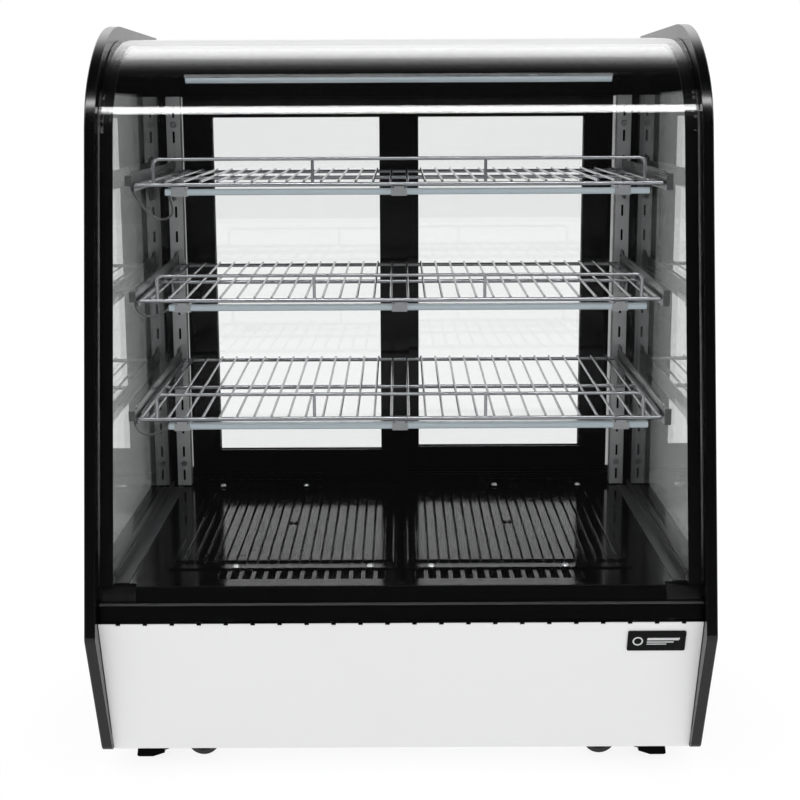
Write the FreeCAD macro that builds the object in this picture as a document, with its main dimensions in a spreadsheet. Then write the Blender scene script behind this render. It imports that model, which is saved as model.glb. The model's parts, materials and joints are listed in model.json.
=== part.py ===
import FreeCAD, Part
import math
import os
import Sketcher
from FreeCAD import Vector, Rotation, Placement

# Refrigerated bakery display case: curved front glass, two sliding rear doors,
# three wire shelves, on four casters.
# +X to the right seen from the customer side, +Y towards the rear, +Z up.
# Origin on the floor, in the middle of the width and of the depth. Millimetres.

doc = FreeCAD.newDocument("DisplayCase")
sheet = doc.addObject("Spreadsheet::Sheet", "dims")
rows = [0]


class Q:
    """A size: its value, and the same size as a formula over the spreadsheet."""

    def __init__(self, v, t=None):
        self.v = float(v)
        self.t = t if t is not None else "(%s)" % format(float(v), ".10g")
        self.free = t is None

    def _mix(self, o, sign, v):
        o = q(o)
        r = Q(v, "(%s %s %s)" % (self.t, sign, o.t))
        r.free = self.free and o.free
        return r

    def __add__(self, o):
        return self._mix(o, "+", self.v + q(o).v)

    def __radd__(self, o):
        return q(o) + self

    def __sub__(self, o):
        return self._mix(o, "-", self.v - q(o).v)

    def __rsub__(self, o):
        return q(o) - self

    def __mul__(self, o):
        return self._mix(o, "*", self.v * q(o).v)

    def __rmul__(self, o):
        return q(o) * self

    def __truediv__(self, o):
        return self._mix(o, "/", self.v / q(o).v)

    def __neg__(self):
        return q(0) - self


def q(x):
    return x if isinstance(x, Q) else Q(x)


def qsin(a):
    return Q(math.sin(math.radians(a.v)), "sin(%s)" % a.t)


def qcos(a):
    return Q(math.cos(math.radians(a.v)), "cos(%s)" % a.t)


def qtan(a):
    return Q(math.tan(math.radians(a.v)), "tan(%s)" % a.t)


def qsqrt(a):
    return Q(math.sqrt(a.v), "sqrt(%s)" % a.t)


def dim(alias, value, note):
    rows[0] += 1
    n = rows[0]
    sheet.set("A%d" % n, note)
    sheet.set("B%d" % n, format(float(value), ".10g"))
    sheet.setAlias("B%d" % n, alias)
    return Q(value, "dims." + alias)


# ------------------------------------------------------------------ sizes
case_w = dim("case_width", 700, "overall width")
case_h = dim("case_height", 866, "overall height")
rear_y = dim("rear_face_y", 285.1, "rear face of the end frames")
foot_y = dim("foot_y", -218, "front of the end frames at their foot")
foot_z = dim("foot_z", 31, "height of the skirt above the floor")
nose_z = dim("nose_z", 190, "height of the nose, the frontmost point")
frame_t = dim("end_frame_thick", 12.5, "thickness of an end frame")
slope = dim("front_slope_deg", 11.84, "lean of the straight front")
rim1 = dim("rim_radius_front", 115, "radius of the rim's shoulder")
rim2 = dim("rim_radius_top", 216, "radius of the rim's crown")
crown_y = dim("crown_y", 14.7, "depth at which the rim becomes level")
glass_in = dim("glass_inset", 16, "front glass below the rim")
glass_t = dim("front_glass_thick", 6, "front glass thickness")
glass_w = dim("front_glass_half_width", 336.5, "half width of the front glass")
glass_z = dim("front_glass_foot_z", 204.5, "lower edge of the front glass")
seal_t = dim("seal_thick", 2, "rubber between front and side glass")
pane_t = dim("side_pane_thick", 4, "one pane of the side glass")
inner_x = dim("cabin_half_width", 322, "half width of the cabin between the side glasses")
side_x = dim("side_glass_outer_x", 337, "outer face of the side glass")
win_top = dim("side_window_top_z", 785.5, "top of the clear side window")
win_rear = dim("side_window_rear_y", 181, "rear of the clear side window")
deck_z = dim("deck_z", 242, "top of the deck sheet")
panel_top_y = dim("front_panel_top_y", -269.5, "front panel, upper edge")
panel_top_z = dim("front_panel_top_z", 204, "front panel, upper edge")
panel_bot_y = dim("front_panel_foot_y", -211, "front panel, lower edge")
sheet_t = dim("panel_sheet", 1.2, "sheet thickness of the front panel")
pan_z = dim("chassis_pan_z", 50, "underside of the chassis pan")
door_w = dim("door_width", 310, "width of a sliding door")
door_t = dim("door_thick", 14, "thickness of a sliding door")
door_z0 = dim("door_bottom_z", 249, "lower edge of a door")
door_z1 = dim("door_top_z", 797, "upper edge of a door")
door_rail = dim("door_rail", 40, "width of a door's stiles and rails")
track_in = dim("inner_track_y", 232, "front face of the inner door")
track_out = dim("outer_track_y", 250, "front face of the outer door")
wire_r = dim("shelf_wire_radius", 1.5, "radius of the shelf's long wires")
rod_r = dim("shelf_rod_radius", 2.5, "radius of the shelf's frame rods")
guard_r = dim("guard_radius", 2, "radius of the guard rail")
pitch = dim("shelf_wire_pitch", 19.8, "pitch of the shelf's long wires")
shelf_w = dim("shelf_half_width", 301.5, "half width between the side rods")
shelf_y = dim("shelf_rear_y", 200, "rear rod of the shelves")
guard_z = dim("guard_height", 29, "guard rail above the front rod")
slot_pitch = dim("slot_pitch", 33.75, "pitch of the slots in the standards")
slot_z0 = dim("first_slot_z", 258.6, "centre of the lowest slot")
wheel_r = dim("wheel_radius", 19.5, "caster wheel radius")
wheel_wd = dim("wheel_width", 18, "caster wheel width")
trail = dim("caster_trail", 23, "wheel axle to swivel axis")
swivel_x = dim("caster_x", 262, "swivel axis from the middle")
swivel_yf = dim("front_caster_y", -152, "front swivel axis")
swivel_yr = dim("rear_caster_y", 225, "rear swivel axis")
lead_d = dim("lamp_lead_diameter", 2.6, "lamp lead diameter")
fit = dim("running_gap", 0.05, "radial gap of running fits")

HW = case_w / 2
FI = HW - frame_t

# ------------------------------------------------------------------ helpers
count = [0]


def uid(kind):
    count[0] += 1
    return "%s_%03d" % (kind, count[0])


def put(obj, prop, val):
    val = q(val)
    if val.free:
        setattr(obj, prop, val.v)
    else:
        setattr(obj, prop, val.v)
        obj.setExpression(prop, val.t)


def place(obj, x, y, z, rot=None):
    x, y, z = q(x), q(y), q(z)
    obj.Placement = Placement(Vector(x.v, y.v, z.v), rot or Rotation())
    for ax, val in (("x", x), ("y", y), ("z", z)):
        if not val.free:
            obj.setExpression("Placement.Base." + ax, val.t)
    return obj


def box(x0, x1, y0, y1, z0, z1):
    o = doc.addObject("Part::Box", uid("block"))
    put(o, "Length", q(x1) - x0)
    put(o, "Width", q(y1) - y0)
    put(o, "Height", q(z1) - z0)
    return place(o, x0, y0, z0)


TURN = {
    "x": Rotation(Vector(0, 1, 0), 90),
    "-x": Rotation(Vector(0, 1, 0), -90),
    "y": Rotation(Vector(1, 0, 0), -90),
    "-y": Rotation(Vector(1, 0, 0), 90),
    "z": Rotation(),
    "-z": Rotation(Vector(1, 0, 0), 180),
}


def cyl(axis, r, x, y, z, length):
    o = doc.addObject("Part::Cylinder", uid("round"))
    put(o, "Radius", r)
    put(o, "Height", length)
    return place(o, x, y, z, TURN[axis])


def cone(axis, r1, r2, x, y, z, length):
    o = doc.addObject("Part::Cone", uid("taper"))
    put(o, "Radius1", r1)
    put(o, "Radius2", r2)
    put(o, "Height", length)
    return place(o, x, y, z, TURN[axis])


def fuse(parts):
    if len(parts) == 1:
        return parts[0]
    o = doc.addObject("Part::MultiFuse", uid("join"))
    o.Shapes = parts
    o.Refine = True
    return o


def cut(base, tools):
    o = doc.addObject("Part::Cut", uid("cut"))
    o.Base = base
    if len(tools) == 1:
        o.Tool = tools[0]
    else:
        t = doc.addObject("Part::MultiFuse", uid("tools"))
        t.Shapes = tools
        o.Tool = t
    return o


def group(parts):
    o = doc.addObject("Part::Compound", uid("set"))
    o.Links = parts
    return o


def mirror(src):
    o = doc.addObject("Part::Mirroring", uid("mirror"))
    o.Source = src
    o.Normal = (1, 0, 0)
    o.Base = (0, 0, 0)
    return o


def common(a, b):
    o = doc.addObject("Part::Common", uid("common"))
    o.Base = a
    o.Tool = b
    return o


NODES = []


def node(name, obj):
    obj.Label = name
    NODES.append((name, obj))
    return obj


def plane_of(body, role):
    return [f for f in body.Origin.OriginFeatures if f.Role == role][0]


def outline(body, pts):
    """A closed outline on the body's YZ plane. pts: (y, z) or (y, z, (cy, cz, r, turn)),
    where turn is -1 for a clockwise arc to the next point and 1 for the other way."""
    sk = body.newObject("Sketcher::SketchObject", uid("outline"))
    sk.AttachmentSupport = [(plane_of(body, "YZ_Plane"), "")]
    sk.MapMode = "FlatFace"
    n = len(pts)
    first, last = [], []
    for i, p in enumerate(pts):
        a = Vector(q(p[0]).v, q(p[1]).v, 0)
        nx = pts[(i + 1) % n]
        b = Vector(q(nx[0]).v, q(nx[1]).v, 0)
        if len(p) > 2:
            cy_, cz_, r_, turn = p[2]
            c = Vector(q(cy_).v, q(cz_).v, 0)
            ta = math.atan2(a.y - c.y, a.x - c.x)
            tb = math.atan2(b.y - c.y, b.x - c.x)
            circle = Part.Circle(c, Vector(0, 0, 1), q(r_).v)
            if turn > 0:
                if tb < ta:
                    tb += 2 * math.pi
                sk.addGeometry(Part.ArcOfCircle(circle, ta, tb), False)
                first.append(1)
                last.append(2)
            else:
                if ta < tb:
                    ta += 2 * math.pi
                sk.addGeometry(Part.ArcOfCircle(circle, tb, ta), False)
                first.append(2)
                last.append(1)
        else:
            sk.addGeometry(Part.LineSegment(a, b), False)
            first.append(1)
            last.append(2)
    for i in range(n):
        j = (i + 1) % n
        sk.addConstraint(Sketcher.Constraint("Coincident", i, last[i], j, first[j]))
    for i, p in enumerate(pts):
        for kind, val in (("DistanceX", q(p[0])), ("DistanceY", q(p[1]))):
            k = sk.addConstraint(Sketcher.Constraint(kind, -1, 1, i, first[i], val.v))
            if not val.free:
                sk.setExpression("Constraints[%d]" % k, val.t)
        if len(p) > 2:
            r_ = q(p[2][2])
            k = sk.addConstraint(Sketcher.Constraint("Radius", i, r_.v))
            if not r_.free:
                sk.setExpression("Constraints[%d]" % k, r_.t)
    return sk


def profile(pts, x0, length, rounds=(), holes=(), rim=None):
    """A body: an outline in YZ, given a thickness along X. rounds: ([(y, z), ...], radius)
    for edges along X; holes: outlines cut right through; rim: (x side, radius) rounds
    the outer edge loop on that face."""
    body = doc.addObject("PartDesign::Body", uid("body"))
    sk = outline(body, pts)
    pad = body.newObject("PartDesign::Pad", uid("pad"))
    pad.Profile = sk
    put(pad, "Length", length)
    body.Tip = pad
    doc.recompute()
    tip = pad
    for spots, radius in rounds:
        names = []
        for i, e in enumerate(tip.Shape.Edges):
            if len(e.Vertexes) == 2 and abs(e.Vertexes[0].X - e.Vertexes[1].X) > 0.9 * q(length).v:
                for s in spots:
                    if abs(e.Vertexes[0].Y - q(s[0]).v) < 0.05 and abs(e.Vertexes[0].Z - q(s[1]).v) < 0.05:
                        names.append("Edge%d" % (i + 1))
        if len(names) != len(spots):
            raise SystemExit("rounding found %d of %d edges" % (len(names), len(spots)))
        f = body.newObject("PartDesign::Fillet", uid("fillet"))
        f.Base = (tip, names)
        put(f, "Radius", radius)
        body.Tip = f
        doc.recompute()
        tip = f
    if rim:
        side, radius = rim
        want = 0.0 if side < 0 else q(length).v
        names = []
        for i, e in enumerate(tip.Shape.Edges):
            if all(abs(v.X - want) < 1e-6 for v in e.Vertexes) and abs(e.CenterOfMass.x - want) < 1e-6:
                names.append("Edge%d" % (i + 1))
        f = body.newObject("PartDesign::Fillet", uid("fillet"))
        f.Base = (tip, names)
        put(f, "Radius", radius)
        body.Tip = f
        doc.recompute()
        tip = f
    for pts2, rounds2 in holes:
        before = tip.Shape.Volume
        sk2 = outline(body, pts2)
        pk = body.newObject("PartDesign::Pocket", uid("pocket"))
        pk.Profile = sk2
        pk.Type = 1
        pk.Reversed = True
        body.Tip = pk
        doc.recompute()
        if pk.Shape.Volume > before - 1:
            raise SystemExit("a pocket cuts nothing")
        tip = pk
        for spots, radius in rounds2:
            names = []
            for i, e in enumerate(tip.Shape.Edges):
                if len(e.Vertexes) == 2 and abs(e.Vertexes[0].X - e.Vertexes[1].X) > 0.9 * q(length).v:
                    for s in spots:
                        if abs(e.Vertexes[0].Y - q(s[0]).v) < 0.05 and abs(e.Vertexes[0].Z - q(s[1]).v) < 0.05:
                            names.append("Edge%d" % (i + 1))
            f = body.newObject("PartDesign::Fillet", uid("fillet"))
            f.Base = (tip, names)
            put(f, "Radius", radius)
            body.Tip = f
            doc.recompute()
            tip = f
    place(body, x0, 0, 0)
    return body


# ------------------------------------------------------------------ the rim curve
# A line leaning back by the slope, then an arc to 45 degrees, then an arc to level.
crown_z = case_h - rim2
s_, c_ = qsin(slope), qcos(slope)
k45 = qsqrt(q(0.5))
c1y = crown_y - (rim2 - rim1) * k45
c1z = crown_z + (rim2 - rim1) * k45


def rim_c(d):
    return c1y - (rim1 - d) * c_, c1z + (rim1 - d) * s_


def rim_d(d):
    return c1y - (rim1 - d) * k45, c1z + (rim1 - d) * k45


def rim_e(d):
    return crown_y, crown_z + rim2 - d


def rim_y(z, d):
    cy_, cz_ = rim_c(d)
    return cy_ - qtan(slope) * (cz_ - z)


def up(d, z0):
    """Points up the rim curve, inset by d, from height z0 to the crown."""
    c, dd, e = rim_c(d), rim_d(d), rim_e(d)
    return [
        (rim_y(z0, d), q(z0)),
        (c[0], c[1], (c1y, c1z, rim1 - d, -1)),
        (dd[0], dd[1], (crown_y, crown_z, rim2 - d, -1)),
        (e[0], e[1]),
    ]


def down(d, z0):
    c, dd, e = rim_c(d), rim_d(d), rim_e(d)
    return [
        (e[0], e[1], (crown_y, crown_z, rim2 - d, 1)),
        (dd[0], dd[1], (c1y, c1z, rim1 - d, 1)),
        (c[0], c[1]),
        (rim_y(z0, d), q(z0)),
    ]


def window(z0, z1, y1, d):
    """A window whose front edge follows the rim at inset d."""
    c = rim_c(d)
    r = rim1 - d
    top_y = c1y - qsqrt(r * r - (q(z1) - c1z) * (q(z1) - c1z))
    return [
        (rim_y(z0, d), q(z0)),
        (c[0], c[1], (c1y, c1z, r, -1)),
        (top_y, q(z1)),
        (q(y1), q(z1)),
        (q(y1), q(z0)),
    ]


# ------------------------------------------------------------------ end frames
nose = (rim_y(nose_z, q(0)), nose_z)
shell = [(foot_y, foot_z), (nose[0], nose[1])] + up(q(0), nose_z)[1:] + [
    (rear_y, case_h), (rear_y, foot_z)]
frame_win = window(q(248), win_top, win_rear, q(34))
frame_l = profile(
    shell, -HW, frame_t,
    rounds=[([nose], 12), ([(foot_y, foot_z)], 10), ([(rear_y, case_h), (rear_y, foot_z)], 6)],
    rim=(-1, 2),
    holes=[(frame_win, [([frame_win[0], frame_win[3], frame_win[4]], 12)])],
)
node("end_frame_left", frame_l)
node("end_frame_right", mirror(frame_l))

# ------------------------------------------------------------------ glass
g0 = glass_in
g1 = glass_in + glass_t
g2 = g1 + seal_t
front_glass = profile(up(g0, glass_z) + down(g1, glass_z), -glass_w, glass_w * 2)
node("front_glass", front_glass)

pane_z = deck_z + 1
pane_rear = q(221.5)
pane_shape = up(g2, pane_z) + [(pane_rear, crown_z + rim2 - g2), (pane_rear, pane_z)]
pane_in = profile(pane_shape, -inner_x - pane_t, pane_t)
pane_out = profile(pane_shape, -side_x, pane_t)
node("side_glasses", group([pane_in, pane_out, mirror(pane_in), mirror(pane_out)]))

g3 = g2 + 0.5
border_shape = up(g3, pane_z + 0.5) + [
    (pane_rear - 0.5, crown_z + rim2 - g3), (pane_rear - 0.5, pane_z + 0.5)]
border_win = window(q(251), win_top, win_rear, q(38))
border = profile(
    border_shape, -side_x + pane_t + 0.1, side_x - inner_x - pane_t * 2 - 0.2,
    holes=[(border_win, [([border_win[0], border_win[3], border_win[4]], 10)])])
node("side_glass_borders", group([border, mirror(border)]))

seal = profile(up(g1, pane_z) + down(g2, pane_z), -glass_w, glass_w - inner_x)
node("glass_seals", group([seal, mirror(seal)]))

# ------------------------------------------------------------------ front panel, rail, badge
p_slope = (panel_bot_y - panel_top_y) / (panel_top_z - foot_z)
back = q(1.27)
panel_shape = [
    (panel_bot_y, foot_z),
    (panel_top_y, panel_top_z),
    (panel_top_y + back, panel_top_z),
    (panel_bot_y + back - p_slope * sheet_t, foot_z + sheet_t),
    (panel_bot_y + 8, foot_z + sheet_t),
    (panel_bot_y + 8, foot_z),
]
panel = profile(panel_shape, -side_x, side_x * 2)
notches = []
for i in range(22):
    x = (i - 10.5) * 30.0
    notches.append(box(x - 2.6, x + 2.6, panel_top_y - 2, panel_top_y + 5, panel_top_z - 2.2, panel_top_z + 1))
node("front_panel", cut(panel, notches))

rail_shape = [
    (q(-260), q(192.5)),
    (q(-265.6), q(199.5)),
    (q(-265.6), glass_z - 0.2),
    (rim_y(glass_z - 0.2, g1 + 0.2), glass_z - 0.2),
    (rim_y(deck_z - 2, g1 + 0.2), deck_z - 2),
    (q(-240.2), deck_z - 2),
    (q(-240.2), q(192.5)),
]
rail = cut(
    profile(rail_shape, -glass_w, glass_w * 2),
    [box(297, 340, -270, -239, 225, 242), box(-340, -297, -270, -239, 225, 242)],
)
node("glass_rail", rail)

badge_a = math.degrees(math.atan(p_slope.v))
badge = fuse([box(-32.5, 32.5, -1.6, 0, -13.5, 13.5)])
badge_round = doc.addObject("Part::Fillet", "badge_corners")
badge_round.Base = badge
doc.recompute()
badge_round.Edges = [
    (i + 1, 2.0, 2.0) for i, e in enumerate(badge.Shape.Edges)
    if abs(e.Vertexes[0].X - e.Vertexes[1].X) < 1e-6 and abs(e.Vertexes[0].Z - e.Vertexes[1].Z) < 1e-6]
place(badge_round, 286, panel_top_y + p_slope * (panel_top_z - 180) - 0.01, 180, Rotation(Vector(1, 0, 0), badge_a))
node("badge_plate", badge_round)

# ------------------------------------------------------------------ top and ceiling
top_z = case_h - glass_in
top = fuse([
    box(-side_x, side_x, crown_y + 0.8, q(283.5), top_z - 1.5, top_z),
    box(-side_x, side_x, crown_y + 0.8, crown_y + 2.3, top_z - 7, top_z - 1.5),
    box(-side_x, side_x, q(282.2), q(283.5), top_z - 22, top_z - 1.5),
])
node("top_panel", top)

g25 = q(25)
ceil_z = q(807)
ceil_front = q(-62)
ceil_top = crown_z + qsqrt((rim2 - g25) * (rim2 - g25) - (crown_y - ceil_front) * (crown_y - ceil_front))
ceiling = profile([
    (ceil_front, ceil_z),
    (ceil_front, ceil_top, (crown_y, crown_z, rim2 - g25, -1)),
    (crown_y, crown_z + rim2 - g25),
    (q(221), crown_z + rim2 - g25),
    (q(221), ceil_z),
], -inner_x + 1, inner_x * 2 - 2)
node("ceiling_panel", ceiling)

# ------------------------------------------------------------------ rear frame and doors
opening = q(300)
screw_x = q(306.5)
stud_z = [q(275.475), q(747.975)]
rear_frame = cut(
    fuse([
        box(-glass_w, glass_w, 222.2, 282, 238, 846),
        box(-glass_w + 4, glass_w - 4, 275, 278.8, 214, 238),
    ]),
    [box(-opening, opening, 220, 284, deck_z + 1, 805)]
    + [cyl("y", 2.05, sx * screw_x, 221, z, 12) for sx in (-1, 1) for z in stud_z]
    + [cyl("y", 2.05, sx * x, 274, 226, 6) for sx in (-1, 1) for x in (60.0, 310.0)],
)
node("rear_frame", rear_frame)

fins = [(228, 230.5), (247.2, 248.8), (265.5, 268)]
tw = opening - 0.05
track_low = fuse([box(-tw, tw, 226, 270, deck_z + 1.05, 246)] + [box(-tw, tw, a, b, 246, 256) for a, b in fins])
track_top = fuse([box(-tw, tw, 226, 270, 802, 804.95)] + [box(-tw, tw, a, b, 785, 802) for a, b in fins])
node("door_tracks", group([track_low, track_top]))


def door(x0, y0, pull_x, glass_name, frame_name):
    x0 = q(x0)
    x1 = x0 + door_w
    y1 = y0 + door_t
    frame = cut(
        fuse([
            box(x0, x1, y0, y1, door_z0, door_z1),
            box(x0 + 18, x0 + 58, y0 + 2, y1 - 2, 246.1, door_z0),
            box(x1 - 58, x1 - 18, y0 + 2, y1 - 2, 246.1, door_z0),
        ]),
        [
            box(x0 + door_rail, x1 - door_rail, y0 - 1, y1 + 1, door_z0 + door_rail, door_z1 - door_rail),
            box(x0 + door_rail - 4.2, x1 - door_rail + 4.2, y0 + 1.9, y1 - 1.9,
                door_z0 + door_rail - 4.2, door_z1 - door_rail + 4.2),
            box(q(pull_x) - 8, q(pull_x) + 8, y1 - 5, y1 + 1, 470, 590),
        ],
    )
    node(frame_name, frame)
    g = [
        box(x0 + door_rail - 4, x1 - door_rail + 4, a, b, door_z0 + door_rail - 4, door_z1 - door_rail + 4)
        for a, b in ((y0 + 2, y0 + 5), (y1 - 5, y1 - 2))
    ]
    node(glass_name, group(g))


door(-297, track_in, -277, "door_glass_left", "door_frame_left")
door(-13, track_out, 277, "door_glass_right", "door_frame_right")

# ------------------------------------------------------------------ slotted standards
std_y = q(206)
std_t = q(1.2)
uprights = []
for sx in (-1, 1):
    a, b = sorted((sx * 297.0, sx * 316.0))
    web = fuse([
        box(a, b, std_y, std_y + std_t, deck_z + 1.6, 785),
        box(a, a + 1.2, std_y, 222.2, deck_z + 1.6, 785),
        box(b - 1.2, b, std_y, 222.2, deck_z + 1.6, 785),
    ])
    slots = [
        box(sx * screw_x - 1.5, sx * screw_x + 1.5, std_y - 1, std_y + std_t + 1,
            slot_z0 + slot_pitch * k - 7.5, slot_z0 + slot_pitch * k + 7.5)
        for k in range(16)
    ]
    slots += [cyl("y", 2.05, sx * screw_x, std_y - 1, z, 4) for z in stud_z]
    uprights.append(cut(web, slots))
node("shelf_standards", group(uprights))

# ------------------------------------------------------------------ shelves
# level: rear rod height, front rod depth, front rod height, middle rod depth
LEVELS = [
    ("top", dim("top_shelf_z", 684.4, "top shelf, rear rod"), -128.0, 681.6, 31.0, (13, 12)),
    ("middle", dim("middle_shelf_z", 557, "middle shelf, rear rod"), -128.0, 548.2, 31.0, (9, 8)),
    ("bottom", dim("bottom_shelf_z", 424.6, "bottom shelf, rear rod"), -160.0, 414.3, 17.0, (5, 4)),
]
brackets, lenses, channels, clips = [], [], [], []
lamp_x0 = dim("lamp_left_x", -268, "left end of a shelf lamp")
lamp_x1 = dim("lamp_right_x", 287, "right end of a shelf lamp")
FRAMES = {}
for name, rz, fy, fz, my, hooks in LEVELS:
    run = math.hypot(shelf_y.v - fy, rz.v - fz)
    droop = math.degrees(math.atan2(rz.v - fz, shelf_y.v - fy))
    tilt = Rotation(Vector(1, 0, 0), droop)
    L = dim(name + "_shelf_depth", round(run, 3), name + " shelf, rear rod to front rod")
    mid = -(shelf_y.v - my)
    half_n = 15
    bits = [
        cyl("x", rod_r, -shelf_w, 0, 0, shelf_w * 2),
        cyl("x", rod_r, -shelf_w, -L, 0, shelf_w * 2),
        cyl("x", rod_r, -shelf_w, mid, 0, shelf_w * 2),
        cyl("-y", rod_r, -shelf_w, 0, 0, L),
        cyl("-y", rod_r, shelf_w, 0, 0, L),
    ]
    for sx in (-1, 1):
        for yy in (q(0), -L):
            ball = doc.addObject("Part::Sphere", uid("ball"))
            put(ball, "Radius", rod_r)
            place(ball, sx * shelf_w, yy, 0)
            bits.append(ball)
    for i in range(2 * half_n):
        bits.append(cyl("-y", wire_r, (i - half_n + 0.5) * pitch, 2, rod_r + wire_r - 0.5, L + 3.8))
    bend = q(7)
    gw = q(281)
    bits += [
        cyl("x", guard_r, -gw + bend, -L, guard_z, (gw - bend) * 2),
        cyl("z", guard_r, -gw, -L, 1, guard_z - bend - 1),
        cyl("z", guard_r, gw, -L, 1, guard_z - bend - 1),
        cyl("z", guard_r - 0.2, -99, -L, 1, guard_z - 1),
        cyl("z", guard_r - 0.2, 99, -L, 1, guard_z - 1),
    ]
    for sx in (-1, 1):
        t = doc.addObject("Part::Torus", uid("bend"))
        put(t, "Radius1", bend)
        put(t, "Radius2", guard_r)
        t.Angle3 = 90
        rot = Rotation(Vector(1, 0, 0), 90)
        if sx < 0:
            rot = Rotation(Vector(0, 0, 1), 180).multiply(rot)
        place(t, sx * (gw - bend), -L, guard_z - bend, rot)
        bits.append(t)
    shelf = fuse(bits)
    shelf.Refine = False
    place(shelf, 0, shelf_y, rz, tilt)
    node("shelf_" + name, shelf)

    # brackets: a side plate with two hooks and two inward lugs under the side rod
    plate = [(q(4.7), q(-38)), (q(4.7), q(19)), (q(-12), q(19)), (q(-20), q(14)), (-L + 12, q(14)),
             (-L + 10, q(11)), (-L + 10, q(-8)), (q(-60), q(-8)), (q(-14), q(-38))]
    bp = profile(plate, -307.5, 2)
    nose_up = [box(-307.5, -305.5, -L - 4, -L + 11, -1, 11), box(-313, -305.5, -L - 6, -L - 4, -1, 11)]
    nose_low = [box(-307.5, -305.5, -L - 4, -L + 11, -8, -1), box(-313, -305.5, -L - 6, -L - 4, -8, -1)]
    extra = [
        box(-306, -299, -42, -22, -4.5, -2.5),
        box(-306, -299, -L + 26, -L + 46, -4.5, -2.5),
    ]
    for k in hooks:
        hz = slot_z0.v + slot_pitch.v * k - rz.v
        extra.append(box(-307.5, -305.5, 4.0, 8.6, hz - 3.5, hz + 3.5))
        extra.append(box(-307.5, -305.5, 8.2, 10.4, hz - 9, hz + 3.5))
    right = fuse([bp] + extra + nose_up + nose_low)
    conduit = box(-310.8, -307.5, -L + 13, -14, -4, 0.5)
    left = fuse([bp] + extra + nose_up + [conduit])
    place(left, 0, shelf_y, rz, tilt)
    rm = mirror(right)
    place(rm, 0, shelf_y, rz, tilt)
    brackets += [left, rm]

    # lamp under the front rod: milky lens in front, aluminium channel behind
    lens = profile([(-L - 1.5, q(-5)), (-L + 5, q(-5)), (-L + 5, q(-12)), (-L - 1.5, q(-12)),
                    (-L - 3, q(-10.5)), (-L - 3, q(-6.5))], lamp_x0, lamp_x1 - lamp_x0)
    place(lens, lamp_x0, shelf_y, rz, tilt)
    lenses.append(lens)
    ch = box(lamp_x0, lamp_x1, -L + 5, -L + 7.5, -12, -5)
    chh = group([ch])
    place(chh, 0, shelf_y, rz, tilt)
    channels.append(chh)
    for cx in (-252.0, 0.0, 256.0):
        clip = cut(
            fuse([
                box(cx - 9, cx + 9, -L - 4.2, -L + 8.7, -13.2, -2.3),
                box(cx - 9, cx + 9, -L + 1, -L + 4.6, -2.3, 1.9),
            ]),
            [
                box(cx - 11, cx + 11, -L - 3.05, -L + 7.55, -12.05, -4.95),
                cyl("x", rod_r + 0.05, cx - 11, -L, 0, 22),
                cyl("y", 1.1, cx - 6.8, -L - 5, -3.6, 15),
                cyl("y", 1.1, cx + 6.8, -L - 5, -3.6, 15),
            ],
        )
        place(clip, 0, shelf_y, rz, tilt)
        clips.append(clip)
node("shelf_brackets", group(brackets))

cl_y = q(-54)
ceil_ch = box(-252, 252, cl_y - 6, cl_y + 6, 803, ceil_z)
ceil_lens = profile([
    (cl_y - 5.5, q(803)), (cl_y + 5.5, q(803)), (cl_y + 5.5, q(800), (cl_y, q(803.4641016), q(6.5), -1)), (cl_y - 5.5, q(800)),
], -251, 502)
node("lamp_channels", group([ceil_ch] + channels))
node("lamp_lenses", group([ceil_lens] + lenses))
node("lamp_clips", group(clips))

# ------------------------------------------------------------------ lamp leads
radii = []


def lead(name, pts, d):
    """A tube of straight runs joined by tangent arcs; each arc is as large as its runs allow."""
    P = [Vector(*p) for p in pts]
    edges, at, length = [], P[0], 0.0
    for i in range(1, len(P) - 1):
        a, b = P[i] - P[i - 1], P[i + 1] - P[i]
        turn = a.getAngle(b)
        run = min(a.Length, b.Length)
        back_ = 0.45 * run
        r = back_ / math.tan(turn / 2)
        radii.append((name, i, round(r, 2), round(math.degrees(turn), 1)))
        u, w = Vector(a).normalize(), Vector(b).normalize()
        s0, e0 = P[i] - u * back_, P[i] + w * back_
        n = (w - u).normalize()
        c = P[i] + n * (r / math.cos(turn / 2))
        m = c - n * r
        edges.append(Part.LineSegment(at, s0).toShape())
        edges.append(Part.Arc(s0, m, e0).toShape())
        length += (s0 - at).Length + r * turn
        at = e0
    edges.append(Part.LineSegment(at, P[-1]).toShape())
    length += (P[-1] - at).Length
    wire = Part.Wire(edges)
    ring = Part.Wire(Part.Circle(P[0], (P[1] - P[0]), d / 2).toShape())
    tube = wire.makePipe(Part.Face(ring))
    want = math.pi * d * d / 4 * length
    print("lead %s: length %.1f mm, volume %.1f, section x length %.1f" % (name, length, tube.Volume, want))
    if abs(tube.Volume - want) > 0.01 * want:
        raise SystemExit("lead %s has the wrong volume" % name)
    o = doc.addObject("Part::Feature", uid("lead"))
    o.Shape = tube
    o.Placement = Placement()
    return o


LEAD_TOP = [(-309.15, -113.5, 680.0), (-308.9, -123.5, 676.8), (-299.0, -131.0, 664.0), (-286.5, -131.5, 649.0),
            (-272.5, -129.0, 641.0), (-260.2, -127.5, 646.6), (-261.2, -126.6, 659.2), (-264.8, -126.4, 669.9)]
LEAD_MID = [(-309.15, -113.5, 546.8), (-309.6, -122.5, 543.8), (-304.0, -129.5, 534.5), (-292.5, -130.6, 529.8),
            (-280.0, -129.4, 531.8), (-266.6, -128.4, 539.6)]
dy, dz = -160.0 + 128.0, 414.3 - 548.2
LEAD_LOW = [(x, y + dy, z + dz) for x, y, z in LEAD_MID]
node("lamp_lead_top", lead("top", LEAD_TOP, lead_d.v))
node("lamp_lead_middle", lead("middle", LEAD_MID, lead_d.v))
node("lamp_lead_bottom", lead("bottom", LEAD_LOW, lead_d.v))

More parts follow.
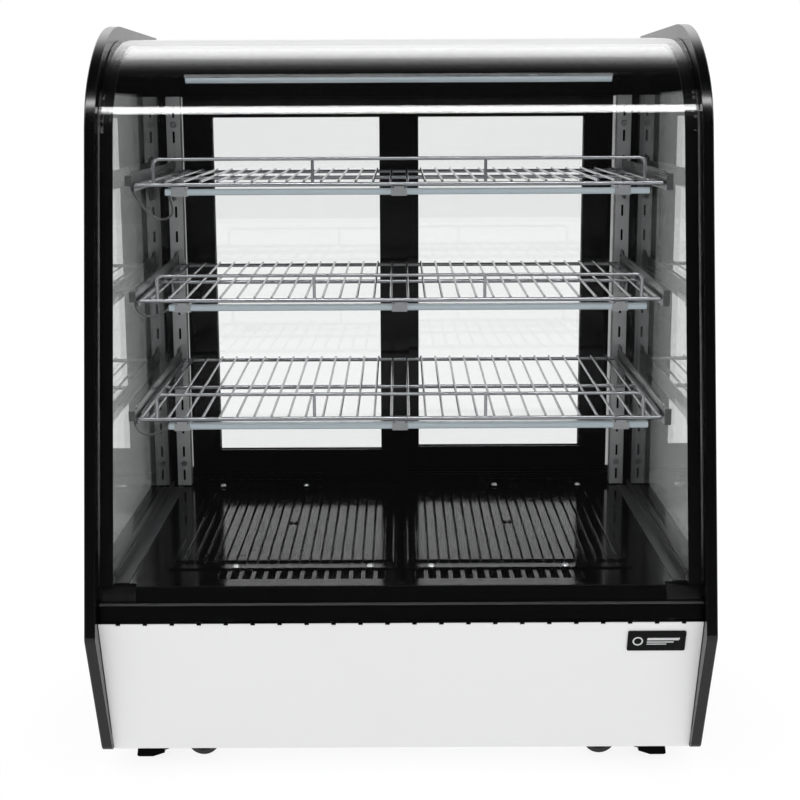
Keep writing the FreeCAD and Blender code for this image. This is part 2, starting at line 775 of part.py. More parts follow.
# ------------------------------------------------------------------ chassis and tub
chassis_w = q(336)
chassis = cut(
    fuse([
        box(-chassis_w, chassis_w, -214, 278, pan_z, pan_z + 2),
        box(-chassis_w, chassis_w, -214, -212, pan_z, 128),
        box(-chassis_w, -chassis_w + 2, -214, 278, pan_z, 128),
        box(chassis_w - 2, chassis_w, -214, 278, pan_z, 128),
        box(-chassis_w, -chassis_w + 2, 32.2, 274, 128, 205),
        box(chassis_w - 2, chassis_w, 32.2, 274, 128, 205),
        box(-chassis_w, chassis_w, 276, 278.8, pan_z, 76),
    ]),
    [box(x - 3, x + 3, -120, -20, pan_z - 1, pan_z + 3) for x in [i * 16.0 for i in range(-9, 10)]]
    + [cyl("y", 2.05, sx * x, 275, 68, 5) for sx in (-1, 1) for x in (60.0, 310.0)],
)
node("base_chassis", chassis)

tub = cut(
    profile([
        (q(-240), q(128)), (q(-240), deck_z - 2), (q(222), deck_z - 2), (q(222), q(205)),
        (q(32), q(205)), (q(32), q(128))], -chassis_w, chassis_w * 2),
    [
        box(-316, 316, -222, 10, 150, 242),
        box(-316, 316, 9, 217, 225, 242),
        cyl("-z", 9.1, 0, -20, 151, 30),
        cyl("y", 5, -120, 9, 185, 30),
        cyl("y", 5, -90, 9, 185, 30),
    ],
)
node("insulated_tub", tub)

# ------------------------------------------------------------------ deck
plate_x0, plate_x1, plate_y0, plate_y1 = q(5), q(269), q(-190), q(158)
vent_bars = []
for sx in (-1, 1):
    for i in range(14):
        x = sx * (22.0 + 14.0 * i)
        a, b = sorted((x - 4.5, x + 4.5))
        vent_bars.append(box(a, b, -226, -191, deck_z - 3, deck_z + 1))
fixings_front = [(sx * x, -185.0) for sx in (-1, 1) for x in (35.5, 191.5)]
fixings_rear = [(sx * x, 201.5) for sx in (-1, 1) for x in (133.0, 251.0)]
deck = cut(
    fuse([
        box(-chassis_w, chassis_w, -250.6, 221.4, deck_z - 2, deck_z),
        cyl("z", 12, 0, -236, deck_z, 3),
        cyl("z", 9, 0, -236, deck_z + 3, 1.5),
    ]),
    vent_bars
    + [box(14, 260, -160, 4, deck_z - 3, deck_z + 1), box(-260, -14, -160, 4, deck_z - 3, deck_z + 1)]
    + [box(-286, 286, 210.5, 216.5, deck_z - 3, deck_z + 1)]
    + [box(297, 340, -252, -240.4, deck_z - 3, deck_z + 1), box(-340, -297, -252, -240.4, deck_z - 3, deck_z + 1)]
    + [cyl("z", 2.05, x, y, deck_z - 3, 4) for x, y in fixings_front + fixings_rear],
)
node("deck_base", deck)

rib_pitch = dim("rib_pitch", 12.3, "pitch of the deck ribs")
plate = [box(plate_x0, plate_x1, plate_y0, plate_y1, deck_z, deck_z + 2)]
for i in range(21):
    x = plate_x0 + 9 + rib_pitch * i
    plate.append(box(x - 1.0, x + 1.0, -168, 154, deck_z + 2, deck_z + 4.58))
    plate.append(box(x - 2.6, x + 2.6, -168, 154, deck_z + 2, deck_z + 3.0))
    plate.append(cyl("y", 1.6, x - 1.0, -168, deck_z + 3.0, 322))
    plate.append(cyl("y", 1.6, x + 1.0, -168, deck_z + 3.0, 322))
ribbed = cut(
    fuse(plate),
    [cyl("z", 2.05, x, y, deck_z - 1, 4) for x, y in fixings_front if x > 0]
    + [cyl("z", 3, 137.0, -8, deck_z - 1, 8)],
)
node("deck_plates", group([ribbed, mirror(ribbed)]))

grille = cut(
    fuse([
        box(-290, 290, 194, 210, deck_z, deck_z + 1.5),
        box(-290, 290, 208.5, 210, deck_z, deck_z + 16),
    ]),
    [box(sx * (116.0 + 14.0 * i) - 4.5, sx * (116.0 + 14.0 * i) + 4.5, 207, 211, deck_z + 3.5, deck_z + 13.5)
     for sx in (-1, 1) for i in range(12)]
    + [cyl("z", 2.05, x, y, deck_z - 1, 4) for x, y in fixings_rear],
)
node("rear_air_grille", grille)

# ------------------------------------------------------------------ screws
def screw(x, y, z, axis, grip=3.8):
    """A pan-head screw with a cross recess; (x, y, z) is where the head meets the sheet,
    and the axis is the way the head looks."""
    back_way = {"z": "-z", "-y": "y", "y": "-y"}[axis]
    head = cone(axis, 4.2, 3.0, x, y, z, 2.2)
    shank = cyl(back_way, 2.0, x, y, z, grip)
    x, y, z = q(x), q(y), q(z)
    if axis == "z":
        slots = [box(x - 2.2, x + 2.2, y - 0.4, y + 0.4, z + 1.2, z + 3), box(x - 0.4, x + 0.4, y - 2.2, y + 2.2, z + 1.2, z + 3)]
    elif axis == "-y":
        slots = [box(x - 2.2, x + 2.2, y - 3, y - 1.2, z - 0.4, z + 0.4), box(x - 0.4, x + 0.4, y - 3, y - 1.2, z - 2.2, z + 2.2)]
    else:
        slots = [box(x - 2.2, x + 2.2, y + 1.2, y + 3, z - 0.4, z + 0.4), box(x - 0.4, x + 0.4, y + 1.2, y + 3, z - 2.2, z + 2.2)]
    return cut(fuse([head, shank]), slots)


screws = [screw(x, y, deck_z + 2, "z") for x, y in fixings_front]
screws += [screw(x, y, deck_z + 1.5, "z") for x, y in fixings_rear]
screws += [screw(sx * screw_x, std_y, z, "-y", 22) for sx in (-1, 1) for z in stud_z]
screws += [screw(sx * x, 280.5, z, "y") for sx in (-1, 1) for x in (60.0, 310.0) for z in (68.0, 226.0)]
node("screws", group(screws))

# ------------------------------------------------------------------ evaporator
fins_e = [box(-200 + 10.0 * i, -199.2 + 10.0 * i, -128, -68, 158, 224) for i in range(41)]
tubes_e = [cyl("x", 4, -206, -113 + 30.0 * i, 170 + 20.0 * j, 412) for i in range(2) for j in range(3)]
bends_e = [box(-210, -206, -120, -76, 158, 224), box(206, 210, -120, -76, 158, 224)]
stubs = [cyl("y", 4, -120, -70, 185, 80), cyl("y", 4, -90, -70, 185, 80)]
node("evaporator_coil", fuse(fins_e + tubes_e + bends_e + stubs + [box(-210, 210, -122, -74, 150, 158)]))

fan_x, fan_z = q(40), q(190)
node("evaporator_fan_frame", cut(
    fuse([
        box(-60, 210, -46, -44, 150, 232),
        cyl("y", 15, fan_x, -24, fan_z, 22),
        box(fan_x - 3, fan_x + 3, -44, -24, 150, 157),
        box(fan_x - 3, fan_x + 3, -27, -24, 150, 190),
        cyl("-y", 2.0, fan_x, -24, fan_z, 8),
    ]),
    [cyl("y", 35, fan_x, -47, fan_z, 4)],
))


def rotor(cx, y0, cz, hub_r, tip_r, depth, blades, bore_r, bore_y, bore_len, axis):
    """Hub with pitched blades turning about Y; blind bore for the motor shaft."""
    hub = cyl("y", hub_r, cx, y0, cz, depth)
    bits = [hub]
    for i in range(blades):
        b = doc.addObject("Part::Box", uid("blade"))
        put(b, "Length", q(tip_r) - hub_r + 4)
        put(b, "Width", 1.4)
        put(b, "Height", q(hub_r) * 1.25)
        local = Placement(Vector(hub_r - 4, -0.7, -hub_r * 0.625), Rotation())
        pitch_r = Placement(Vector(0, 0, 0), Rotation(Vector(1, 0, 0), 28))
        turn_r = Placement(Vector(q(cx).v, y0 + depth / 2, q(cz).v), Rotation(Vector(0, 1, 0), 360.0 * i / blades))
        b.Placement = turn_r.multiply(pitch_r).multiply(local)
        bits.append(b)
    return cut(fuse(bits), [cyl("y", q(bore_r) + fit, cx, bore_y, cz, bore_len)])


node("evaporator_fan", rotor(fan_x, -36.0, fan_z, 10.0, 31.0, 8.0, 5, 2.0, -32.4, 5, "y"))

# ------------------------------------------------------------------ compressor
comp_x, comp_y = q(-170), q(140)
dome = [(62, 54, 8, 62), (70, 62, 10, 66), (80, 66, 74, 66), (154, 66, 16, 62), (170, 62, 12, 52), (182, 52, 9, 34), (191, 34, 5, 12)]
compressor = fuse(
    [cone("z", r0, r1, comp_x, comp_y, z, dz_) if r0 != r1 else cyl("z", r0, comp_x, comp_y, z, dz_) for z, r0, dz_, r1 in dome]
    + [cyl("z", 69, comp_x, comp_y, 118, 4), box(comp_x - 80, comp_x + 80, comp_y - 55, comp_y + 55, 60, 63),
       box(comp_x + 55, comp_x + 84, comp_y - 24, comp_y + 24, 90, 112)]
    + [cyl("z", 9, comp_x + sx * 70, comp_y + sy * 45, 52, 8) for sx in (-1, 1) for sy in (-1, 1)]
    + [cyl("z", 5, comp_x + sx * 70, comp_y + sy * 45, 63, 5) for sx in (-1, 1) for sy in (-1, 1)]
    + [cyl("-y", 5, comp_x + 50, comp_y - 30, 146, 45), cyl("y", 4, comp_x + 20, comp_y + 40, 140, 40)],
)
node("compressor", compressor)

# ------------------------------------------------------------------ condenser
cx0, cx1 = 62.0, 302.0
fins_c = [box(cx0 + 8.0 * i, cx0 + 0.8 + 8.0 * i, 234, 264, 62, 190) for i in range(31)]
tubes_c = [cyl("x", 4, cx0 - 6, 242 + 14.0 * i, 76 + 25.0 * j, cx1 - cx0 + 12) for i in range(2) for j in range(5)]
ends_c = [box(cx0 - 7, cx0 - 5.5, 234, 264, 52, 190), box(cx1 + 5.5, cx1 + 7, 234, 264, 52, 190)]
node("condenser_coil", fuse(fins_c + tubes_c + ends_c))

cf_x, cf_z = q(182), q(126)
node("condenser_shroud", cut(
    fuse([
        box(cx0 - 7, cx1 + 7, 226, 228, 52, 198),
        cyl("y", 24, cf_x, 168, cf_z, 34),
        cyl("y", 2.5, cf_x, 202, cf_z, 12),
        box(cf_x - 4, cf_x + 4, 170, 174, 52, 126),
        box(cf_x - 4, cf_x + 4, 170, 228, 52, 56),
    ]),
    [cyl("y", 62, cf_x, 225, cf_z, 4)],
))
node("condenser_fan", rotor(cf_x, 207.0, cf_z, 16.0, 57.0, 12.0, 5, 2.5, 206.0, 9, "y"))

# ------------------------------------------------------------------ drain pan and lines
node("drain_pan", fuse([
    cut(box(-60, 40, 50, 170, 54, 84), [box(-58.4, 38.4, 51.6, 168.4, 55.6, 85)]),
    box(-55, -45, 55, 65, 52, 54), box(25, 35, 55, 65, 52, 54), box(-55, -45, 155, 165, 52, 54), box(25, 35, 155, 165, 52, 54),
    ]))


def line(pts, d):
    P = [Vector(*p) for p in pts]
    edges, at = [], P[0]
    for i in range(1, len(P) - 1):
        a, b = P[i] - P[i - 1], P[i + 1] - P[i]
        turn = a.getAngle(b)
        r = min(14.0, 0.45 * min(a.Length, b.Length) / math.tan(turn / 2))
        back_ = r * math.tan(turn / 2)
        u, w = Vector(a).normalize(), Vector(b).normalize()
        s0, e0 = P[i] - u * back_, P[i] + w * back_
        n = (w - u).normalize()
        c = P[i] + n * (r / math.cos(turn / 2))
        edges.append(Part.LineSegment(at, s0).toShape())
        edges.append(Part.Arc(s0, c - n * r, e0).toShape())
        at = e0
    edges.append(Part.LineSegment(at, P[-1]).toShape())
    ring = Part.Wire(Part.Circle(P[0], (P[1] - P[0]), d / 2).toShape())
    o = doc.addObject("Part::Feature", uid("line"))
    o.Shape = Part.Wire(edges).makePipe(Part.Face(ring))
    o.Placement = Placement()
    return o


lines = [
    # suction: tub wall to the compressor's side stub
    line([(-120, 32, 185), (-120, 49, 185), (-120, 49, 146), (-120, 65, 146)], 8.0),
    # discharge: compressor's rear stub to the condenser
    line([(-150, 220, 140), (-150, 242, 140), (-150, 242, 176), (55, 242, 176)], 6.0),
    # liquid: condenser foot, filter drier, capillary up to the tub wall
    line([(55, 256, 76), (30, 256, 76), (30, 256, 110), (10, 256, 110)], 6.0),
    line([(-90, 256, 110), (-100, 256, 110), (-118, 256, 110), (-118, 256, 196), (-50, 256, 196), (-50, 45, 196), (-90, 45, 196), (-90, 45, 185), (-90, 32, 185)][0:1]
         + [(-106, 256, 110), (-106, 256, 198), (-40, 256, 198), (-40, 46, 198), (-90, 46, 190), (-90, 32, 185)], 4.0),
]
drier = fuse([cyl("x", 9, -80, 256, 110, 80), cone("x", 9, 3, 0, 256, 110, 10), cone("-x", 9, 3, -80, 256, 110, 10)])
node("refrigerant_lines", group(lines + [drier]))

# ------------------------------------------------------------------ rear panel and controls
ctrl_x0, ctrl_x1, ctrl_z0, ctrl_z1 = -305.0, -165.0, 128.0, 208.0
in_x, in_z = 240.0, 90.0
louvres = []
for row in range(9):
    z = 84.0 + 13.0 * row
    louvres.append(box(70, 290, 278, 282, z if row > 1 else z, z + 5) if row > 3 else box(70, 205, 278, 282, z, z + 5))
    louvres.append(box(-130, 30, 278, 282, z, z + 5))
rear_panel = cut(
    box(-334, 334, 279, 280.5, 60, 236),
    louvres
    + [box(ctrl_x0 + 5, ctrl_x1 - 5, 278, 282, ctrl_z0 + 5, ctrl_z1 - 5),
       box(in_x - 14.1, in_x + 14.1, 278, 282, in_z - 10.1, in_z + 10.1)]
    + [cyl("y", 2.05, sx * x, 278, z, 4) for sx in (-1, 1) for x in (60.0, 310.0) for z in (68.0, 226.0)],
)
node("rear_panel", rear_panel)

rk_x, rk_z = -280.0, 168.0
bt = [(-200.0, 150.0), (-180.0, 150.0)]
controller = cut(
    fuse([
        box(ctrl_x0, ctrl_x1, 280.5, 283, ctrl_z0, ctrl_z1),
        box(ctrl_x0 + 5.1, ctrl_x1 - 5.1, 258, 280.5, ctrl_z0 + 5.1, ctrl_z1 - 5.1),
    ]),
    [
        box(-243, -175, 282.2, 284, 164, 196),
        box(rk_x - 7.3, rk_x + 7.3, 268, 284, rk_z - 14, rk_z + 14),
        cyl("x", 1.55, rk_x - 9.5, 279, rk_z, 19),
    ]
    + [cyl("y", 4.1, x, 277, z, 7) for x, z in bt],
)
node("controller", controller)
node("controller_button_down", cyl("y", 4.0, bt[0][0], 278.6, bt[0][1], 5.4))
node("controller_button_up", cyl("y", 4.0, bt[1][0], 278.6, bt[1][1], 5.4))

rk_body = box(-7, 7, -2, 4.2, -10.5, 10.5)
rk_hub = cyl("x", 4.0, -7, 0, 0, 14)
rk_pin = cyl("x", 1.5, -8.9, 0, 0, 17.8)
rocker = fuse([rk_body, rk_hub, rk_pin])
place(rocker, rk_x, 279, rk_z, Rotation(Vector(1, 0, 0), 8))
node("light_rocker", rocker)

inlet = cut(
    fuse([box(in_x - 16, in_x + 16, 280.5, 283, in_z - 12, in_z + 12), box(in_x - 14, in_x + 14, 266, 280.5, in_z - 10, in_z + 10)]),
    [box(in_x - 11.5, in_x + 11.5, 270, 284, in_z - 7.5, in_z + 7.5)],
)
pins = [box(in_x + dx - 1, in_x + dx + 1, 268, 275, in_z + dz_ - 2, in_z + dz_ + 2) for dx, dz_ in ((-7, -2.0), (7, -2.0), (0, 2.5))]
node("power_inlet", fuse([inlet] + pins))

# ------------------------------------------------------------------ casters
plates, pedals = [], []
SPOTS = [("front_left", -1, swivel_yf), ("front_right", 1, swivel_yf), ("rear_left", -1, swivel_yr), ("rear_right", 1, swivel_yr)]
for name, sx, cy_ in SPOTS:
    # all built for the left side and mirrored for the right
    sxl = -swivel_x
    ax = sxl + trail
    pl = cut(
        fuse([
            box(sxl - 28, sxl + 28, cy_ - 24, cy_ + 24, 47, pan_z),
            cyl("z", 5, sxl, cy_, 37.2, 10),
            cyl("z", 7.5, sxl, cy_, 37.2, 2.6),
        ]),
        [cyl("z", 3, sxl + i * 22, cy_ + j * 18, 46, 5) for i in (-1, 1) for j in (-1, 1)],
    )
    fork = fuse([
        cut(
            fuse([cyl("z", 17, sxl, cy_, 40.2, 6), box(sxl - 16, sxl + 34, cy_ - 12.5, cy_ + 12.5, 40.2, 42.2)]),
            [cyl("z", q(5) + fit, sxl, cy_, 39, 9)],
        )
    ] + [
        fuse([
            box(sxl - 20, sxl + 34, a, b, 30, 42.2),
            box(ax - 7, ax + 7, a, b, wheel_r, 32),
            cyl("y", 7, ax, a, wheel_r, 2.4),
        ])
        for a, b in ((cy_ - 12.5, cy_ - 10.1), (cy_ + 10.1, cy_ + 12.5))
    ] + [cyl("y", 3, ax, cy_ - 13.5, wheel_r, 27)]
      + ([cyl("y", 2.5, sxl - 14, cy_ - 13.3, 34, 26.6)] if cy_.v < 0 else []))
    fork.Refine = True
    wh = cut(
        fuse([cyl("y", wheel_r - 2, ax, cy_ - wheel_wd / 2, wheel_r, 2), cyl("y", wheel_r, ax, cy_ - wheel_wd / 2 + 2, wheel_r, wheel_wd - 4),
              cyl("y", wheel_r - 2, ax, cy_ + wheel_wd / 2 - 2, wheel_r, 2)]),
        [cyl("y", q(3) + fit, ax, cy_ - 12, wheel_r, 24),
         cut(cyl("y", 13, ax, cy_ - 10, wheel_r, 3), [cyl("y", 7, ax, cy_ - 10, wheel_r, 3)]),
         cut(cyl("y", 13, ax, cy_ + 7, wheel_r, 3), [cyl("y", 7, ax, cy_ + 7, wheel_r, 3)])],
    )
    if sx > 0:
        pl, fork, wh = mirror(pl), mirror(fork), mirror(wh)
    plates.append(pl)
    node("caster_fork_" + name, fork)
    node("caster_wheel_" + name, wh)
    if cy_.v < 0:
        px, pz = -swivel_x.v - 14.0, 34.0
        blade = profile([
            (q(-4.5), q(-4.6)), (q(-1.5), q(4.2)), (q(14), q(0.5)), (q(41), q(-22)), (q(42), q(-30)), (q(40), q(-31.5)),
            (q(23), q(-31.5)), (q(-4.5), q(-22.5)),
        ], 0, 19)
        tread = profile([
            (q(9), q(1.69)), (q(14), q(0.5)), (q(41), q(-22)), (q(42), q(-30)), (q(40), q(-31.5)), (q(23), q(-31.5)),
            (q(9), q(-26.92)),
        ], 0, 37)
        tread.Placement = Placement(Vector(px, cy_.v - 18.5, pz), Rotation(Vector(0, 0, 1), 90))
        # the blade's outline is drawn outward along its own Y, then turned to point along -X
        blade.Placement = Placement(Vector(px, cy_.v - 9.5, pz), Rotation(Vector(0, 0, 1), 90))
        ped = cut(fuse([blade, tread, cyl("y", 4.6, px, cy_.v - 9.5, pz, 19)]), [cyl("y", q(2.5) + fit, px, cy_.v - 11, pz, 22)])
        if sx > 0:
            ped = mirror(ped)
        node("brake_pedal_" + ("left" if sx < 0 else "right"), ped)
node("caster_plates", group(plates))

# ------------------------------------------------------------------ checks and export
doc.recompute()
bad = [o.Name + " " + ",".join(o.State) for o in doc.Objects if any(s in ("Invalid", "Error") for s in o.State)]
if bad:
    raise SystemExit("failed objects: " + "; ".join(bad))
if len(NODES) > 60 or len(set(n for n, _ in NODES)) != len(NODES):
    raise SystemExit("node names: %d" % len(NODES))
for name, o in NODES:
    if o.Shape.isNull() or not o.Shape.isValid() or not o.Shape.Solids:
        raise SystemExit("bad shape: " + name)
for r in radii:
    print("arc", r)
os.makedirs("parts", exist_ok=True)
for old in os.listdir("parts"):
    if old.endswith(".step"):
        os.remove(os.path.join("parts", old))
lo, hi = [1e9] * 3, [-1e9] * 3
for name, o in NODES:
    o.Shape.exportStep(os.path.join("parts", name + ".step"))
    b = o.Shape.BoundBox
    for i, (a, c) in enumerate(((b.XMin, b.XMax), (b.YMin, b.YMax), (b.ZMin, b.ZMax))):
        lo[i], hi[i] = min(lo[i], a), max(hi[i], c)
    print("%-26s solids %2d  x %8.2f %8.2f  y %8.2f %8.2f  z %8.2f %8.2f  vol %.0f" % (
        name, len(o.Shape.Solids), b.XMin, b.XMax, b.YMin, b.YMax, b.ZMin, b.ZMax, o.Shape.Volume))
print("nodes", len(NODES), "box", [round(v, 2) for v in lo], [round(v, 2) for v in hi])
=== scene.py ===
import json
import math

import bmesh
import bpy
from mathutils import Matrix, Vector


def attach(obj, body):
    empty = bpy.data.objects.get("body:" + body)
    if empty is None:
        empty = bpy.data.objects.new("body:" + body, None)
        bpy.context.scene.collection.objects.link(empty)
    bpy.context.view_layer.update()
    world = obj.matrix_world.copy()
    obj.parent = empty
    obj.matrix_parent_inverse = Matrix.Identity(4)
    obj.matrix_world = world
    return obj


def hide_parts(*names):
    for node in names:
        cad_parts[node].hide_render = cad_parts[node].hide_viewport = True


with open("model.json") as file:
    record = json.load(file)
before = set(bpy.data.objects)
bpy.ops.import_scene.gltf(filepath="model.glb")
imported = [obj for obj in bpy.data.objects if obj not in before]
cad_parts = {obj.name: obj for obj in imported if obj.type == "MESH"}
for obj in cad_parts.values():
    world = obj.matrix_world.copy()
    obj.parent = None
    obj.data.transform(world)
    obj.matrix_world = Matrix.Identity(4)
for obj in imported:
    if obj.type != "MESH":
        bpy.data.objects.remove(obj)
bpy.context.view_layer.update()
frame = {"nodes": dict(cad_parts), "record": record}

NODES = frame["nodes"]
SCENE = bpy.context.scene


# ---------------------------------------------------------------------------
# Camera: straight in front, 1.83 m back, a little above the middle shelf
# ---------------------------------------------------------------------------
cam_data = bpy.data.cameras.new("camera")
cam_data.sensor_width = 36.0
cam_data.lens = 66.4
cam_data.clip_start = 0.05
cam_data.clip_end = 60.0
camera = bpy.data.objects.new("camera", cam_data)
SCENE.collection.objects.link(camera)
camera.matrix_world = (
    Matrix.Translation((0.0, -1.834, 0.757))
    @ Matrix.Rotation(math.radians(90.0 - 10.86), 4, "X")
    @ Matrix.Rotation(math.radians(-0.25), 4, "Z")
)
SCENE.camera = camera


# ---------------------------------------------------------------------------
# Node helpers
# ---------------------------------------------------------------------------
class Net:
    """A material's node tree, with short calls for the nodes used here."""

    def __init__(self, name):
        self.mat = bpy.data.materials.new(name)
        self.mat.use_nodes = True
        self.nt = self.mat.node_tree
        self.nt.nodes.clear()
        self.out = self.nt.nodes.new("ShaderNodeOutputMaterial")
        self.place = self.nt.nodes.new("ShaderNodeTexCoord").outputs["Object"]

    def node(self, kind, ins=None, **attrs):
        n = self.nt.nodes.new(kind)
        for key, value in attrs.items():
            setattr(n, key, value)
        for key, value in (ins or {}).items():
            self.feed(n.inputs[key], value)
        return n

    def feed(self, socket, value):
        if isinstance(value, bpy.types.NodeSocket):
            self.nt.links.new(value, socket)
        elif value is not None:
            if socket.type == "RGBA" and len(value) == 3:
                value = (*value, 1.0)
            socket.default_value = value

    def math(self, op, a, b=0.0, c=None, clamp=False):
        n = self.node("ShaderNodeMath", {0: a, 1: b}, operation=op, use_clamp=clamp)
        if c is not None:
            self.feed(n.inputs[2], c)
        return n.outputs[0]

    def stretch(self, scale, turn=(0.0, 0.0, 0.0)):
        return self.node("ShaderNodeMapping", {"Vector": self.place, "Scale": scale, "Rotation": turn}).outputs[0]

    def noise(self, scale, detail=3.0, rough=0.55, at=None, distort=0.0):
        n = self.node(
            "ShaderNodeTexNoise",
            {"Vector": at or self.place, "Scale": scale, "Detail": detail, "Roughness": rough, "Distortion": distort},
        )
        return n.outputs["Fac"]

    def span(self, value, lo, hi, to_lo, to_hi):
        n = self.node("ShaderNodeMapRange", {0: value, 1: lo, 2: hi, 3: to_lo, 4: to_hi})
        n.clamp = True
        return n.outputs[0]

    def tint(self, fac, a, b):
        n = self.node("ShaderNodeMix", data_type="RGBA")
        self.feed(n.inputs[0], fac)
        self.feed(n.inputs[6], a)
        self.feed(n.inputs[7], b)
        return n.outputs[2]

    def bump(self, height, depth, strength=1.0, under=None):
        ins = {"Height": height, "Distance": depth, "Strength": strength}
        if under is not None:
            ins["Normal"] = under
        return self.node("ShaderNodeBump", ins).outputs[0]

    def round_edges(self, radius):
        return self.node("ShaderNodeBevel", {"Radius": radius}, samples=4).outputs[0]

    def shade(self, **ins):
        keys = {k.replace("_", " "): v for k, v in ins.items()}
        n = self.node("ShaderNodeBsdfPrincipled", keys)
        self.nt.links.new(n.outputs[0], self.out.inputs[0])
        return n


def varied(net, colour, spread, scale=14.0):
    """The colour, a little lighter and darker in slow patches."""
    dark = tuple(c * (1 - spread) for c in colour)
    light = tuple(min(1.0, c * (1 + spread)) for c in colour)
    return net.tint(net.noise(scale, 2.0), dark, light)


def plain(name, colour, rough, spread=0.06, rough_spread=0.05, grain=900.0, depth=0.00002,
          edge=0.0006, metal=0.0, ior=1.5, coat=0.0, coat_rough=0.05, patches=14.0, sheen=0.0):
    """A moulded, painted or enamelled surface: slow colour and gloss patches, fine grain, softened edges."""
    n = Net(name)
    base = n.round_edges(edge) if edge else None
    fine = n.noise(grain, 2.0)
    slow = n.noise(patches * 2.3, 3.0)
    gloss = n.span(slow, 0.3, 0.7, max(0.02, rough - rough_spread), rough + rough_spread)
    normal = n.bump(fine, depth, 1.0, base)
    n.shade(
        Base_Color=varied(n, colour, spread, patches), Roughness=gloss, Metallic=metal, IOR=ior,
        Normal=normal, Coat_Weight=coat, Coat_Roughness=coat_rough, Sheen_Weight=sheen,
    )
    return n.mat


def brushed(name, colour, rough, along="X", spread=0.07, depth=0.000012, edge=0.0004, metal=1.0, fine=1.0):
    """Rolled or brushed metal: long fine strokes in one direction."""
    n = Net(name)
    long_, short = 6.0 * fine, 900.0 * fine
    scale = {"X": (long_, short, short), "Y": (short, long_, short), "Z": (short, short, long_)}[along]
    strokes = n.noise(1.0, 4.0, 0.65, at=n.stretch(scale))
    slow = n.noise(9.0, 3.0)
    gloss = n.math("ADD", n.span(strokes, 0.25, 0.75, rough - 0.07, rough + 0.07), n.span(slow, 0.3, 0.7, -0.03, 0.03))
    colour_ = n.tint(strokes, tuple(c * (1 - spread) for c in colour), tuple(min(1, c * (1 + spread)) for c in colour))
    base = n.round_edges(edge) if edge else None
    n.shade(Base_Color=colour_, Roughness=gloss, Metallic=metal, Normal=n.bump(strokes, depth, 1.0, base))
    return n.mat


def galvanised(name, colour):
    """Zinc-coated sheet: crystals of different brightness and gloss."""
    n = Net(name)
    cells = n.node("ShaderNodeTexVoronoi", {"Vector": n.place, "Scale": 110.0}, feature="F1")
    pick = n.node("ShaderNodeSeparateColor", {0: cells.outputs["Color"]}).outputs[0]
    fine = n.noise(600.0, 2.0)
    n.shade(
        Base_Color=n.tint(pick, tuple(c * 0.82 for c in colour), tuple(min(1, c * 1.1) for c in colour)),
        Roughness=n.span(pick, 0.0, 1.0, 0.30, 0.48), Metallic=1.0,
        Normal=n.bump(fine, 0.00001, 1.0, n.round_edges(0.0004)),
    )
    return n.mat


def chrome(name, colour, rough=0.07):
    """Bright plated wire: nearly a mirror, with faint drawing lines and slight ripples from plating."""
    n = Net(name)
    ripple = n.noise(260.0, 2.0)
    fine = n.noise(2200.0, 2.0)
    slow = n.noise(30.0, 2.0)
    n.shade(
        Base_Color=n.tint(slow, tuple(c * 0.9 for c in colour), colour),
        Roughness=n.span(fine, 0.3, 0.7, rough - 0.03, rough + 0.05), Metallic=0.72,
        Normal=n.bump(ripple, 0.000015, 1.0),
    )
    return n.mat


def finned(name, colour, across="X", pitch=0.0022):
    """A fin pack seen edge-on: fin edges in the metal's own colour, with painted shade darkening the gaps between them.
    """
    n = Net(name)
    axis = n.node("ShaderNodeSeparateXYZ", {0: n.place}).outputs["XYZ".index(across)]
    wave = n.math("SINE", n.math("MULTIPLY", axis, 2 * math.pi / pitch))
    fin_vs_painted_gap_shade = n.span(wave, -0.6, 0.5, 0.0, 1.0)
    slow = n.noise(40.0, 3.0)
    # painted shade: the gaps between fins are darkened to 8% of the metal's colour and made less metallic
    colour_ = n.tint(fin_vs_painted_gap_shade, tuple(c * 0.08 for c in colour), colour)
    n.shade(
        Base_Color=colour_, Metallic=n.span(fin_vs_painted_gap_shade, 0.0, 1.0, 0.4, 1.0),
        Roughness=n.span(slow, 0.3, 0.7, 0.3, 0.45), Normal=n.bump(fin_vs_painted_gap_shade, 0.0006, 0.8),
    )
    return n.mat


def glass(name, tint, reach=1.0, waviness=0.0000004, wipe=0.002):
    """A clear pane: it passes light straight through and mirrors more at a slant. Faint float-glass waves and wipe marks."""
    n = Net(name)
    facing = n.node("ShaderNodeLayerWeight", {"Blend": 0.5})
    slant = n.math("POWER", facing.outputs["Facing"], 5.0)
    share = n.math("MULTIPLY_ADD", slant, 0.96 * reach, 0.04 * reach, clamp=True)
    waves = n.noise(7.0, 1.0)
    smear = n.noise(3.0, 4.0, 0.7, at=n.stretch((1.0, 1.0, 6.0)))
    clear = n.node("ShaderNodeBsdfTransparent", {"Color": n.tint(smear, tint, tuple(c * 0.985 for c in tint))})
    mirror = n.node(
        "ShaderNodeBsdfGlossy",
        {"Color": (1, 1, 1), "Roughness": n.span(smear, 0.35, 0.75, 0.0, wipe), "Normal": n.bump(waves, waviness, 1.0)},
    )
    mix = n.node("ShaderNodeMixShader", {0: share, 1: clear.outputs[0], 2: mirror.outputs[0]})
    n.nt.links.new(mix.outputs[0], n.out.inputs[0])
    return n.mat


